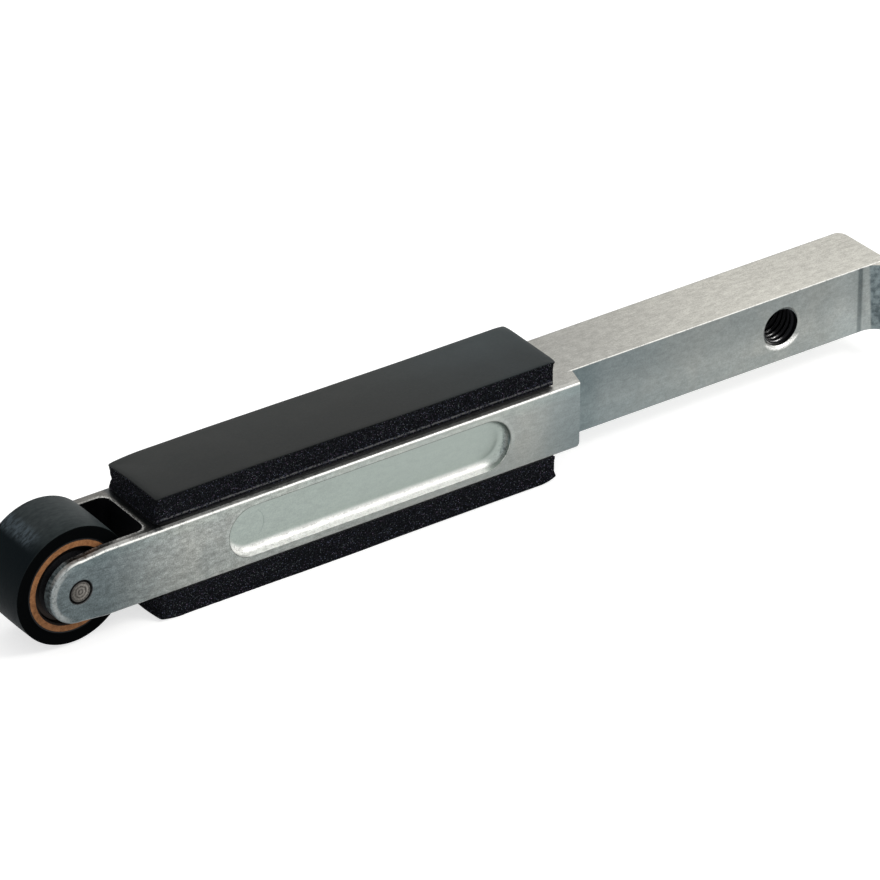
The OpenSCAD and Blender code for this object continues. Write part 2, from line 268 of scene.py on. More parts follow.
class PlatedSteel(Shader):
    """Dull zinc plate over milled steel: a mottled grain that is coarser towards the nose, painted shade that
    darkens the nose, painted light on the tops and the recess's floor, painted shade in the slot and the threaded
    hole, and painted highlights along the edges."""

    def __init__(self):
        super().__init__("plated_steel")
        self.find_faces()
        self.find_cuts()
        self.find_wear()
        self.find_grime()
        colour = self.foot_and_nose(self.machined(self.face_tones()))
        colour = self.grained(self.recess_outline(self.recess_walls(colour)))
        # Painted highlights on the edges, then a dark band by the pad, painted shade in the cuts and a painted
        # highlight on the hole's edge
        colour = self.dirtied(self.blend(self.worn, colour, PLATE["worn"]))
        self.set("Base Color", colour)
        self.set_gloss()

    def find_faces(self):
        """The patterns, and where the large faces are."""
        self.x, self.y, self.z = self.axes()
        self.nx, self.ny, self.nz = self.axes(self.normal)
        self.grain = self.noise(0.33 * MM, 3, 0.65)
        self.fine = self.noise(0.16 * MM, 2, 0.6)
        self.mottle = self.noise(1.3 * MM, 5, 0.6)
        self.strokes = self.noise(0.3 * MM, 3, 0.6, where=self.stretched(0.06, 1, 1))
        self.flecks = self.noise(0.75 * MM, 4, 0.65, where=self.stretched(0.4, 1, 1))
        self.turn = self.math("ABSOLUTE", self.ny)
        self.up = self.span(self.nz, 0.7, 0.95)
        self.forward = self.fade(self.ny, -0.95, -0.7)
        self.body = self.fade(self.x, SHOULDER_X, SHOULDER_X + 1.5 * MM)
        self.shank = self.inverse(self.body)
        self.front_half = self.fade(self.y, 0, 1 * MM)

    def find_cuts(self):
        """Where the slot, the holes and the recess are."""
        past_end = self.past(self.x, SLOT_END_X - SLOT_CORNER_R)
        past_side = self.past(self.math("ABSOLUTE", self.y), SLOT_HALF - SLOT_CORNER_R)
        self.from_slot = self.math("SUBTRACT", self.diagonal(past_end, past_side), SLOT_CORNER_R)
        self.from_wheel = self.from_axis(wheel_axis)
        self.from_hole = self.from_axis(hole_axis)

        off_middle = self.math("ABSOLUTE", self.math("SUBTRACT", self.x, RECESS_X))
        past_end = self.past(off_middle, RECESS_L / 2 - RECESS_R)
        off_line = self.math("ABSOLUTE", self.z)
        self.from_recess = self.math("SUBTRACT", self.diagonal(past_end, off_line), RECESS_R)
        self.floor = self.mask(self.forward, self.near(self.y, RECESS_FLOOR_Y, 0.25 * MM), self.body)
        self.in_recess = self.mask(
            self.body,
            self.span(self.y, front_y + 0.02 * MM, front_y + 0.1 * MM),
            self.span(self.x, *RECESS_STARTS),
            self.fade(self.y, RECESS_FLOOR_Y + 0.05 * MM, RECESS_FLOOR_Y + 0.1 * MM),
            self.fade(off_line, RECESS_R + 0.1 * MM, RECESS_R + 0.3 * MM))
        before_end = self.span(self.x, RECESS_END_X - 6.5 * MM, RECESS_END_X - 3 * MM, 1, 0.05)
        self.lit_wall = self.mask(self.in_recess, self.span(self.nz, 0.05, 0.6), before_end)

    def find_wear(self):
        """Where painted highlights sit on the edges, in patches, and where the nose's side is."""
        patches = self.math("MULTIPLY_ADD", self.grain, 0.5, self.math("MULTIPLY", self.mottle, 0.5))
        patchy = self.span(patches, 0.36, 0.52, 0.25, 1)
        rounded = self.mask(self.span(self.turn, 0.04, 0.2), self.fade(self.turn, 0.93, 0.995))
        skyward = self.span(self.nz, -0.1, 0.3, 0.15, 1)
        outside = self.fade(self.y, RECESS_FLOOR_Y - 1.9 * MM, RECESS_FLOOR_Y - 1.8 * MM)
        edges = self.mask(rounded, skyward, patchy, outside, self.span(self.x, *TIP_HIGHLIGHT_STARTS, 0.22, 1))
        self.rim = self.mask(
            self.up,
            self.fade(self.from_slot, 0.1 * MM, 0.9 * MM),
            self.span(self.grain, 0.42, 0.58, 0.12, 1),
            self.span(self.x, SLOT_END_X - 3 * MM, SLOT_END_X - 1 * MM, 0.35, 1))
        along_edge = self.near(self.y, seat_y, 0.22 * MM)
        shank_edge = self.mask(self.shank, along_edge, self.near(self.z, half_height, 0.22 * MM), patchy)
        self.front_strip = self.mask(
            self.span(self.x, *STRIP_HIGHLIGHT_ENDS, 0.5, 0.2),
            self.fade(self.y, front_y + 1.0 * MM, front_y + 1.25 * MM),
            self.span(self.nz, 0.3, 0.7),
            patchy)
        by_tip = self.span(self.x, wheel_axis.x - 4.5 * MM, wheel_axis.x - 1 * MM, 0.22, 0)
        nose_band = self.mask(self.forward, self.near(self.from_wheel, 5.95 * MM, 0.8 * MM), by_tip, patchy)
        # Painted highlights on the edges, the slot's rim, the shank's edge, the strip by the pad and the nose's
        # rim
        self.worn = self.greatest(edges, self.rim, shank_edge, self.front_strip, nose_band)
        self.nose_side = self.mask(
            self.fade(self.turn, 0.5, 0.8),
            self.fade(self.nx, -0.5, -0.2),
            self.fade(self.x, *NOSE_SIDE_ENDS))

    def find_grime(self):
        """Where painted shade sits: in the slot and the hole, and round the pin."""
        inside_slot = self.fade(self.from_slot, 0.02 * MM, 0.08 * MM)
        within_wall = self.fade(self.from_hole, thread_r + 0.01 * MM, thread_r + 0.06 * MM)
        inside_hole = self.mask(within_wall, self.span(self.ny, -0.9, -0.7))
        by_pin = self.fade(self.from_wheel, 2.5 * MM, 2.75 * MM)
        self.grime = self.greatest(inside_slot, inside_hole, by_pin)

    def face_tones(self):
        """The plate's colour: random blotches, painted shade that darkens the nose, a painted cool reflection
        about the shoulder, and painted light and shade down the front.
        """
        blotch = self.noise(9 * MM, 3, 0.5, distortion=0.8)
        colour = self.blend(self.span(blotch, *STRONG), *PLATE["blotches"])
        # Painted shade: the nose darker
        colour = self.blend(self.fade(self.x, *NOSE_TONE_ENDS), colour, PLATE["nose"])
        # Painted shade and reflection: a darker, cool tone about the shoulder
        body_end = self.span(self.x, SHOULDER_X - 15 * MM, SHOULDER_X - 1 * MM, 0, 0.85)
        shank_start = self.span(self.x, SHOULDER_X, SHOULDER_X + 44 * MM, 1, 0.1)
        cool = self.math("ADD", self.mask(body_end, self.body), self.mask(shank_start, self.shank, 0.8))
        colour = self.blend(cool, colour, PLATE["cool"])

        body_front = self.mask(self.forward, self.body)
        shank_front = self.mask(self.forward, self.shank)
        lower_body = self.fade(self.z, -6 * MM, 6 * MM)
        upper_edge = self.span(self.z, 4 * MM, 6 * MM)
        upper_shank = self.span(self.z, -6 * MM, 5 * MM)
        by_shoulder = self.fade(self.x, SHOULDER_X + 4 * MM, SHOULDER_X + 10 * MM)
        past_hole = self.span(self.x, 9 * MM, 16 * MM)
        lower_shank = self.span(self.z, -2 * MM, -6 * MM)
        # Painted light and shade on the front faces: the lower body, the shank and its lower part darker, the
        # body's upper edge and the shank past the hole paler, and a painted shadow by the shoulder
        tints = ((body_front, lower_body, (0.83, 0.84, 0.84)),
                 (body_front, upper_edge, (1.04, 1.07, 1.06)),
                 (shank_front, upper_shank, (0.70, 0.725, 0.74)),
                 (shank_front, by_shoulder, (0.80, 0.84, 0.85)),
                 (shank_front, past_hole, (1.12, 1.14, 1.16)),
                 (shank_front, lower_shank, (0.90, 0.92, 0.93)))
        for face, share, tint in tints:
            colour = self.tinted(self.mask(face, share), colour, tint)
        return colour

    def machined(self, colour):
        """Painted light and shade: the recess's floor paler, and the top, which pales along the shank, darkens to
        the back and is dark on the fork.
        """
        colour = self.blend(self.floor, colour, PLATE["recess floor"])
        top = self.blend(self.span(self.x, *SHANK_TOP_PALES), *PLATE["shank top"])
        top = self.tinted(self.span(self.y, -6 * MM, 6 * MM), top, (0.90, 0.90, 0.90))
        colour = self.blend(self.mask(self.up, self.span(self.x, *TOP_TONE_STARTS)), colour, top)
        return self.blend(self.mask(self.up, self.fade(self.x, *FORK_TOP_ENDS)), colour, PLATE["fork top"])

    def foot_and_nose(self, colour):
        """Painted reflections: an uneven dark band at the foot's curve, the foot's dark toe, and the nose's
        streaky side.
        """
        by_foot = self.span(self.x, FOOT_START_X - 1.5 * MM, FOOT_START_X - 1.2 * MM)
        foot = self.mask(self.shank, by_foot, self.front_half)
        band = self.mask(foot, self.near(self.x, FOOT_START_X - 0.6 * MM, 0.8 * MM), self.forward)
        band = self.mask(band, self.span(self.grain, 0.3, 0.6, 0.6, 1))
        colour = self.tinted(band, colour, (0.48, 0.51, 0.52))
        toe = self.mask(foot, self.fade(self.nx, -0.42, -0.3))
        colour = self.blend(toe, colour, self.blend(self.span(self.mottle, *STRONG), *PLATE["toe"]))
        streaks = self.noise(0.5 * MM, 3, where=self.stretched(1, 0.4, 1))
        streaked = self.blend(self.span(streaks, *STRONG), *PLATE["nose side"])
        return self.blend(self.nose_side, colour, streaked)

    def recess_walls(self, colour):
        """Painted light and shade in the recess: its lower wall glows with a painted highlight, its upper wall and
        right end are dark with painted shade, and a bluish streak of painted reflection.
        """
        but_the_end = self.mask(self.in_recess, self.span(self.nx, -0.88, -0.72))
        end_wall = self.mask(
            self.in_recess,
            self.near(self.nx, -0.78, 0.24),
            self.span(self.z, -5 * MM, 2 * MM, 1, 0.6),
            self.span(self.grain, 0.3, 0.6, 1, 0.5))
        facing_left = self.fade(self.nx, -0.985, -0.95)
        end_streak = self.mask(self.in_recess, facing_left, self.span(self.z, -3 * MM, 2 * MM, 1, 0.3))
        upper_wall = self.mask(self.in_recess, self.span(self.nz, -0.6, -0.2, 0.75, 0))
        tones = ((but_the_end, "recess floor"), (self.lit_wall, "lit wall"), (end_wall, "end wall"),
                 (end_streak, "end streak"), (upper_wall, "upper wall"))
        for share, tone in tones:
            colour = self.blend(share, colour, PLATE[tone])
        return colour

    def recess_outline(self, colour):
        """A pale halo of painted highlight and a fine painted shadow line round the recess, and the mark where the
        cutter went in.
        """
        by_left_end = self.fade(self.x, RECESS_X - 29 * MM, RECESS_X - 27 * MM)
        above = self.greatest(self.span(self.z, -3 * MM, 1 * MM), by_left_end)
        halo = self.mask(self.body, self.forward, self.near(self.from_recess, 0.55 * MM, 0.5 * MM), above)
        colour = self.tinted(halo, colour, (1.12, 1.13, 1.13))
        at_front = self.fade(self.y, front_y + 0.6 * MM, front_y + 0.8 * MM)
        line = self.mask(self.body, at_front, self.near(self.from_recess, 0.0, 0.17 * MM), above, 0.75)
        colour = self.blend(line, colour, PLATE["recess outline"])
        left_end = Vector((RECESS_X - RECESS_L / 2 + RECESS_R, 0, 0))
        on_circle = self.near(self.from_axis(left_end), 3.6 * MM, 0.16 * MM)
        plunge_mark = self.mask(self.floor, on_circle, self.span(self.x, *PLUNGE_MARK_STARTS))
        return self.tinted(plunge_mark, colour, (0.80, 0.82, 0.82))

    def grained(self, colour):
        """The grain, strongest near the nose and along the tops, and faint on the recess's floor."""
        share = self.greatest(self.span(self.x, *GRAIN_CALMS, 1, 0.4), self.mask(self.up, 0.6))
        share = self.mask(share, self.inverse(self.mask(self.floor, 0.7)))
        grains = ((self.mottle, 0.88, 1.12), (self.flecks, 0.80, 1.22), (self.grain, 0.76, 1.26),
                  (self.fine, 0.88, 1.12), (self.strokes, 0.95, 1.05))
        for pattern, dark, pale in grains:
            change = self.blend(self.span(pattern, 0.28, 0.72), (dark,) * 3, (pale,) * 3)
            colour = self.blend(share, colour, self.tinted(1.0, colour, change))
        return colour

    def dirtied(self, colour):
        """A dark band on the top by the pad's end, painted shade in the slot, the hole and by the pin, and a
        painted highlight on the hole's lower edge.
        """
        by_pad = self.mask(
            self.up,
            self.span(self.from_slot, 0.7 * MM, 1.1 * MM),
            self.near(self.x, SLOT_END_X + 1.7 * MM, 1.6 * MM),
            self.span(self.grain, *STRONG, 1, 0.55))
        colour = self.blend(by_pad, colour, PLATE["by the pad"])
        # Painted shade in the slot, the hole and by the pin
        colour = self.blend(self.grime, colour, PLATE["grime"])
        # Painted highlight on the lower edge of the hole's mouth
        hole_highlight = self.mask(
            self.span(self.from_hole, thread_r + 0.02 * MM, thread_r + 0.08 * MM),
            self.fade(self.from_hole, thread_r + 0.6 * MM, thread_r + 1.1 * MM),
            self.fade(self.z, -3.4 * MM, -2.2 * MM),
            self.shank,
            self.front_half,
            self.span(self.grain, 0.35, 0.55, 0.4, 1))
        return self.blend(hole_highlight, colour, PLATE["hole_highlight"])

    def set_gloss(self):
        """Metal all over, but chalky where painted light sits: on the strip by the pad, the recess's lower wall,
        the slot's rim and the nose's side; rougher on the painted highlights and the painted shade.
        """
        chalky = self.greatest(self.front_strip, self.mask(self.lit_wall, 0.85), self.mask(self.rim, 0.6),
                               self.mask(self.nose_side, 0.85))
        self.set("Metallic", self.inverse(chalky))
        rough = self.math("MULTIPLY_ADD", self.mottle, 0.10, 0.28)
        rough = self.math("MULTIPLY_ADD", self.grain, 0.10, rough)
        rough = self.math("MULTIPLY_ADD", self.worn, 0.15, rough)
        self.set("Roughness", self.math("MULTIPLY_ADD", self.grime, 0.3, rough, clamp=True))
        relief = self.math("MULTIPLY_ADD", self.grain, 0.8, self.mottle)
        self.set("Normal", self.bump(self.math("MULTIPLY_ADD", self.strokes, 0.4, relief), 0.012 * MM))


def thread_steel():
    """The thread's turns: black with painted shade, with painted highlights on the crests at one side, and a paler
    mouth, darker above and with a painted highlight below.
    """
    black, crest_highlight = (0.01, 0.01, 0.011), (0.8, 0.8, 0.8)
    cone_dark, cone_lit = (0.20, 0.225, 0.23), (0.85, 0.85, 0.82)
    s = Shader("thread_steel", Metallic=1.0)
    x, y, z = s.axes()
    crest = s.fade(s.from_axis(hole_axis), 3.4 * MM, 3.6 * MM)
    patchy = s.span(s.noise(0.5 * MM, 3), 0.35, 0.5)
    # Painted highlights on the crests at one side, over painted black shade
    lit = s.mask(crest, s.fade(x, -0.6 * MM, 1.4 * MM), s.fade(z, 0, 1 * MM), patchy)
    mouth = s.fade(y, seat_y + 0.6 * MM, seat_y + 1.0 * MM)
    cone = s.blend(s.fade(z, -3 * MM, -2 * MM), cone_dark, cone_lit)
    s.set("Base Color", s.blend(lit, s.blend(mouth, black, cone), crest_highlight))
    s.set("Roughness", s.span(lit, 0, 1, 0.5, 0.25))
    s.set("Normal", s.bump(s.noise(0.3 * MM, 3), 0.01 * MM))
    return s.material


def turned_steel(name, dark, pale, pitch, rim_r=1.0):
    """Steel turned on a lathe about the wheel's axis: rings of tool marks, painted shade that darkens it to the
    left, and painted black shade outside its rim."""
    rim_gap_shade = (0.008, 0.008, 0.008)
    s = Shader(name, Metallic=1.0)
    radius = s.from_axis(wheel_axis)
    stain = s.noise(0.35 * MM, 4, 0.6)
    wobble = s.math("MULTIPLY_ADD", s.noise(0.6 * MM, 3), 0.12 * MM, radius)
    rings = s.math("SINE", s.math("MULTIPLY", wobble, 2 * math.pi / pitch))
    share = s.math("MULTIPLY_ADD", rings, 0.34, s.span(stain, 0.2, 0.8), clamp=True)
    # Painted shade, darker to the left, and painted black shade outside the rim
    shaded = s.span(s.axes()[0], wheel_axis.x - 2 * MM, wheel_axis.x + 1.6 * MM, 0.65, 0)
    colour = s.blend(shaded, s.blend(share, dark, pale), dark)
    s.set("Base Color", s.blend(s.span(radius, rim_r, rim_r + 0.15 * MM), colour, rim_gap_shade))
    s.set("Roughness", s.math("MULTIPLY_ADD", stain, 0.25, 0.25))
    s.set("Normal", s.bump(s.math("MULTIPLY_ADD", rings, 0.5, stain), 0.012 * MM))
    return s.material


def ground_steel(name, colour, roughness):
    """Ground or polished steel with a faint unevenness."""
    s = Shader(name, Metallic=1.0)
    strokes = s.noise(0.3 * MM, 3, 0.6)
    s.set("Base Color", s.blend(strokes, tuple(c * 0.8 for c in colour), colour))
    s.set("Roughness", s.math("MULTIPLY_ADD", strokes, 0.1, roughness))
    s.set("Normal", s.bump(strokes, 0.004 * MM))
    return s.material


def tyre_rubber():
    """Rubber with a ground tread darkened towards the arm's tip by painted shade, a bluish streak of painted
    reflection above that, and black moulded sides."""
    tread_dark, tread_pale = (0.027, 0.033, 0.035), (0.046, 0.055, 0.056)
    front_tint, tip_shade = (0.66, 0.70, 0.70), (0.0028, 0.0058, 0.0075)
    streak_reflection, side_tone = (0.075, 0.095, 0.11), (0.0010, 0.0014, 0.0016)
    s = Shader("tyre_rubber", Specular_IOR_Level=0.03)
    y = s.axes()[1]
    nx, ny, nz = s.axes(s.normal)
    side = s.span(s.math("ABSOLUTE", ny), 0.75, 0.97)
    grain = s.noise(0.3 * MM, 4, 0.6)
    scuff = s.noise(1.6 * MM, 5, 0.65, where=s.stretched(1, 2.5, 1))
    tread = s.blend(s.span(scuff, 0.3, 0.75), tread_dark, tread_pale)
    tread = s.tinted(s.fade(y, -6.5 * MM, -1 * MM), tread, front_tint)
    # Painted shade towards the arm's tip
    tread = s.blend(s.fade(nx, -0.72, -0.35), tread, tip_shade)
    scuffs = s.span(scuff, 0.36, 0.64, 0.1, 1)
    # Painted bluish reflection streak on the tread
    reflection_streak = s.mask(s.near(nx, -0.53, 0.17), s.span(y, -6 * MM, -1 * MM), scuffs, s.span(nz, 0, 0.3))
    tread = s.blend(reflection_streak, tread, streak_reflection)
    s.set("Base Color", s.blend(side, tread, side_tone))
    scuffed = s.math("MULTIPLY_ADD", scuff, 0.25, s.math("MULTIPLY_ADD", grain, 0.1, 0.32))
    s.set("Roughness", s.math("MULTIPLY_ADD", side, 0.5, scuffed, clamp=True))
    s.set("Normal", s.bump(s.math("MULTIPLY_ADD", grain, 0.5, scuff), 0.02 * MM))
    return s.material


def hub_laminate():
    """Turned laminate: orange brown, dry and a little patchy, with dark inner and outer edges."""
    patches, speck_tone = ((0.19, 0.078, 0.027), (0.36, 0.155, 0.060)), (0.62, 0.30, 0.13)
    inner_tone, outer_tone = (0.012, 0.008, 0.006), (0.004, 0.004, 0.004)
    inner_r = 8.38 * MM
    low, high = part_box("hub_ring")
    outer_r = (high.x - low.x) / 2
    s = Shader("hub_laminate", Specular_IOR_Level=0.25)
    patch = s.noise(0.9 * MM, 4, 0.6)
    grain = s.noise(0.16 * MM, 3, 0.6)
    colour = s.blend(s.span(patch, *MILD), *patches)
    colour = s.blend(s.span(grain, 0.35, 0.8, 0, 0.35), colour, speck_tone)
    radius = s.math("MULTIPLY_ADD", s.noise(0.5 * MM, 3), 0.2 * MM, s.from_axis(wheel_axis))
    colour = s.blend(s.span(radius, inner_r, inner_r + 0.1 * MM), inner_tone, colour)
    colour = s.blend(s.span(radius, outer_r - 0.25 * MM, outer_r - 0.15 * MM), colour, outer_tone)
    s.set("Base Color", colour)
    s.set("Roughness", s.math("MULTIPLY_ADD", grain, 0.2, 0.6))
    s.set("Normal", s.bump(s.math("ADD", grain, patch), 0.02 * MM))
    return s.material


def moulded(name, dark, pale, roughness, depth):
    """A moulded rubber or plastic with a fine uneven skin."""
    s = Shader(name, Specular_IOR_Level=0.2)
    skin = s.noise(0.25 * MM, 4, 0.6)
    s.set("Base Color", s.blend(s.span(skin, *MILD), dark, pale))
    s.set("Roughness", s.math("MULTIPLY_ADD", skin, 0.2, roughness))
    s.set("Normal", s.bump(skin, depth))
    return s.material


def sponge_rubber():
    """Cut sponge: black pores between walls painted with bluish, purplish or greenish glints of light, and a
    painted highlight on the lip along the base of the upper pad's front."""
    bluish, greenish, purplish = (0.108, 0.120, 0.185), (0.118, 0.140, 0.142), (0.155, 0.120, 0.182)
    lip_highlight, pore_tone = (0.10, 0.10, 0.10), (0.0010, 0.0014, 0.0024)
    large_pore, small_pore = 0.29 * MM, 0.17 * MM
    s = Shader("sponge_rubber", Specular_IOR_Level=0.1)
    z = s.axes()[2]
    chance_x, chance_y, chance_z = s.axes(s.cells(large_pore, "Color"))
    small_chance = s.axes(s.cells(small_pore, "Color"))[0]
    hue = s.blend(s.span(chance_y, *MILD), bluish, greenish)
    hue = s.blend(s.span(chance_z, 0.7, 0.8), hue, purplish)
    large = s.mask(s.fade(s.cells(large_pore), 0.1, 0.5), s.span(chance_x, 0.5, 0.95))
    small = s.mask(s.fade(s.cells(small_pore), 0.1, 0.5), s.span(small_chance, 0.3, 1.0, 0, 0.55))
    forward = s.fade(s.axes(s.normal)[1], -0.6, -0.3)
    patchy = s.span(s.noise(0.5 * MM, 2), 0.36, 0.5)
    # Painted highlight on the lip, and painted glints on the walls
    lip = s.mask(s.near(z, half_height + 0.95 * MM, 0.28 * MM), forward, patchy)
    hue = s.blend(lip, hue, lip_highlight)
    lit = s.greatest(large, small, lip)
    s.set("Base Color", s.blend(lit, pore_tone, hue))
    s.set("Roughness", s.span(lit, 0, 1, 1.0, 0.6))
    s.set("Normal", s.bump(lit, 0.08 * MM))
    return s.material


def pad_facing():
    """The smooth facing: dark rubbery cloth, cloudy, a little speckled, and paler to the back and right."""
    cloud_dark, cloud_pale = (0.0048, 0.0066, 0.0066), (0.0084, 0.0102, 0.0102)
    back_tint, right_tint, speck_tone = (2.4, 2.2, 2.15), (1.45, 1.75, 1.95), (0.07, 0.07, 0.07)
    s = Shader("pad_facing", Specular_IOR_Level=0.14)
    x, y, _ = s.axes()
    cloud = s.noise(9 * MM, 4, 0.55)
    skin = s.noise(0.5 * MM, 4, 0.55)
    colour = s.blend(s.span(cloud, *MILD), cloud_dark, cloud_pale)
    colour = s.tinted(s.span(y, -7 * MM, 9 * MM), colour, back_tint)
    colour = s.tinted(s.span(x, -100 * MM, -58 * MM), colour, right_tint)
    s.set("Base Color", s.blend(s.span(s.cells(1.7 * MM), 0.0, 0.07, 0.4, 0), colour, speck_tone))
    s.set("Roughness", s.math("MULTIPLY_ADD", skin, 0.12, s.math("MULTIPLY_ADD", cloud, 0.12, 0.4)))
    s.set("Normal", s.bump(s.math("MULTIPLY_ADD", cloud, 2.0, skin), 0.012 * MM))
    return s.material


def mesh_piece(name, points, faces, material, body, smooth=True):
    """A new piece with this mesh and material, which rides on a body."""
    mesh = bpy.data.meshes.new(name)
    mesh.from_pydata(points, [], faces)
    mesh.validate()
    mesh.update()
    if smooth:
        mesh.polygons.foreach_set("use_smooth", [True] * len(mesh.polygons))
    mesh.materials.append(material)
    piece = bpy.data.objects.new(name, mesh)
    bpy.context.scene.collection.objects.link(piece)
    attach(piece, body)
    return piece


def revolved(profile, turns, centre):
    """Points and faces of a closed solid: a profile of (radius, y) from axis to axis, turned about Y."""
    points, faces = [], []
    inner = profile[1:-1]
    for k in range(turns):
        angle = 2 * math.pi * k / turns
        out = Vector((math.cos(angle), 0, math.sin(angle)))
        points += [centre + out * r + Vector((0, y, 0)) for r, y in inner]
    rows = len(inner)
    for k in range(turns):
        a, b = k * rows, (k + 1) % turns * rows
        faces += [(a + i, a + i + 1, b + i + 1, b + i) for i in range(rows - 1)]
    first, last = len(points), len(points) + 1
    points += [centre + Vector((0, profile[0][1], 0)), centre + Vector((0, profile[-1][1], 0))]
    for k in range(turns):
        a, b = k * rows, (k + 1) % turns * rows
        faces += [(first, a, b), (last, b + rows - 1, a + rows - 1)]
    return points, faces


def wheel_pin(material):
    """The pin, whose ends show the rings that the lathe left."""
    low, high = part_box("wheel_pin")
    half, radius = (high.y - low.y) / 2, (high.x - low.x) / 2
    chamfer, groove = 0.3 * MM, 0.045 * MM
    turns = 96
    face_r = radius - chamfer
    # Each ring's place, as a share of the face's radius, and its depth, as a share of a groove's
    rings = [(0, 0), (0.16, 0), (0.24, 1), (0.33, 0), (0.42, 0), (0.5, 1), (0.58, 0), (0.7, 0), (0.76, 1),
             (0.82, 0), (0.97, 0), (1.0, 0.3)]
    front = [(share * face_r, -half + depth * groove) for share, depth in rings]
    side = [(radius, -half + chamfer), (radius, 0), (radius, half - chamfer)]
    profile = front + side + [(r, -y) for r, y in reversed(front)]
    points, faces = revolved(profile, turns, wheel_axis)
    piece = mesh_piece("pin_turned", points, faces, material, "arm")
    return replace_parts(piece, "wheel_pin")


def thread_ridge(material):
    """The turns of the M8 thread: a ridge that winds along the hole's wall and runs out thin."""
    pitch, crest_r, chamfer = 1.25 * MM, 3.36 * MM, 0.45 * MM
    root_r = thread_r + 0.02 * MM
    start, end = seat_y + chamfer, back_y - chamfer
    steps_a_turn = 64
    total = int((end - start) / pitch * steps_a_turn)
    lead_in = steps_a_turn // 2
    least_width = 0.2
    # The ridge's outline: its rise from root to crest, and its place along the pitch
    section = [(0.0, -0.46), (0.55, -0.19), (1.0, -0.07), (1.0, 0.07), (0.55, 0.19), (0.0, 0.46)]
    points, faces = [], []
    for k in range(total + 1):
        angle = 2 * math.pi * k / steps_a_turn
        height = min(1, k / lead_in, (total - k) / lead_in)
        for rise, along in section:
            r = root_r - (root_r - crest_r) * rise * height
            y = start + pitch * k / steps_a_turn + along * pitch * max(height, least_width)
            points.append((r * math.cos(angle), min(max(y, start), end), r * math.sin(angle)))
    n = len(section)
    for k in range(total):
        a, b = k * n, (k + 1) * n
        faces += [(a + i, a + (i + 1) % n, b + (i + 1) % n, b + i) for i in range(n)]
    faces += [tuple(range(n)), tuple(total * n + i for i in reversed(range(n)))]
    return mesh_piece("thread_turns", points, faces, material, "arm")


def outline(low, high, corner_r, step):
    """Evenly spaced points round a rectangle with round corners, each with its outward direction."""
    centre = (Vector((low.x, low.y)) + Vector((high.x, high.y))) / 2
    half = (Vector((high.x, high.y)) - Vector((low.x, low.y))) / 2 - Vector((corner_r, corner_r))
    found = []
    corners = [(1, -1), (1, 1), (-1, 1), (-1, -1)]
    for k, (sx, sy) in enumerate(corners):
        pivot = centre + Vector((sx * half.x, sy * half.y))
        turns = max(3, round(corner_r * math.pi / 2 / step))
        for i in range(turns + 1):
            angle = math.radians(-90 + 90 * k) + math.pi / 2 * i / turns
            out = Vector((math.cos(angle), math.sin(angle)))
            found.append((pivot + out * corner_r, out))
        nx, ny = corners[(k + 1) % 4]
        here = found[-1][0]
        there = centre + Vector((nx * half.x, ny * half.y)) + out * corner_r
        pieces = max(1, round((there - here).length / step))
        found += [(here.lerp(there, i / pieces), out) for i in range(1, pieces)]
    return found


def stacked(rings):
    """Points and faces of a closed solid, from its rings of points one above the other."""
    points = [point for ring in rings for point in ring]
    faces = []
    count = len(rings[0])
    for row in range(len(rings) - 1):
        a, b = row * count, (row + 1) * count
        faces += [(a + i, a + (i + 1) % count, b + (i + 1) % count, b + i) for i in range(count)]
    top = (len(rings) - 1) * count
    faces += [tuple(reversed(range(count))), tuple(top + i for i in range(count))]
    return points, faces


def smooth_step(value):
    """A smooth step as the value goes from 0 to 1."""
    value = min(1.0, max(0.0, value))
    return value * value * (3 - 2 * value)


LEFT, RIGHT, FRONT, BACK = 0, 1, 0, 1
# Each pad's own form, in mm. Its smooth face stands this far out of its solid's face at the left end, at the
# right end and, added to that, at the back edge. Its ends and corners droop by (place, how much, over what
# length). Then come how far the cut ends are drawn in at mid height, how much shorter the right end's base
# is, the height of the lip along the front's base, by how much the sponge and its facing stand out past
# their solids' right end at the front, and by how much less at the back.
PAD_FORMS = {
    "upper": {"left": 0.25, "right": -0.17, "back": -0.17,
              "ends": [(LEFT, 0.12, 1.5), (RIGHT, 0.12, 1.2)],
              "corners": [(LEFT, FRONT, 0.1, 2), (LEFT, BACK, 0.55, 8),
                          (RIGHT, FRONT, 0.3, 2), (RIGHT, BACK, 0.3, 3)],
              "waists": (0.3, 1.0), "short_base": 0.5, "lip": 0.6, "longer": 1.0, "askew": 0.4},
    "lower": {"left": 0.3, "right": -0.12, "back": -0.15,
              "ends": [(LEFT, 0.1, 3), (RIGHT, 0.35, 4)],
              "corners": [(LEFT, FRONT, 0.75, 8), (LEFT, BACK, 0.4, 8),
                          (RIGHT, FRONT, 0.6, 4), (RIGHT, BACK, 0.4, 4)],
              "waists": (0.3, 0.25), "short_base": 1.7, "lip": 0, "longer": 0.6, "askew": 0.6},
}
# The layers' corners, the distance between their points, and how finely they are built up
FILM_INSET, FILM_CORNER_R, FILM_STEP = 0.22 * MM, 0.9 * MM, 1 * MM
FOAM_CORNER_R, FOAM_STEP, FOAM_ROWS = 0.45 * MM, 0.17 * MM, 28
FACING_CORNER_R, FACING_STEP, FACING_ROUND_STEPS = 0.5 * MM, 0.4 * MM, 3
# The rings that close the pads' faces, as shares of the way to their middle line
INWARD = (0.1, 0.25, 0.45, 0.7, 0.97)
# The facing's thickness at its edge, and how far its underside and the sponge's top lie in from its rim
FACING_EDGE_T, UNDERSIDE_INSET, FOAM_TOP_INSET = 0.16 * MM, 0.05 * MM, 0.1 * MM
# The shares of the length at which the face's fall from left to right starts, and over which it falls
FALL_START, FALL_LENGTH = 0.15, 0.65
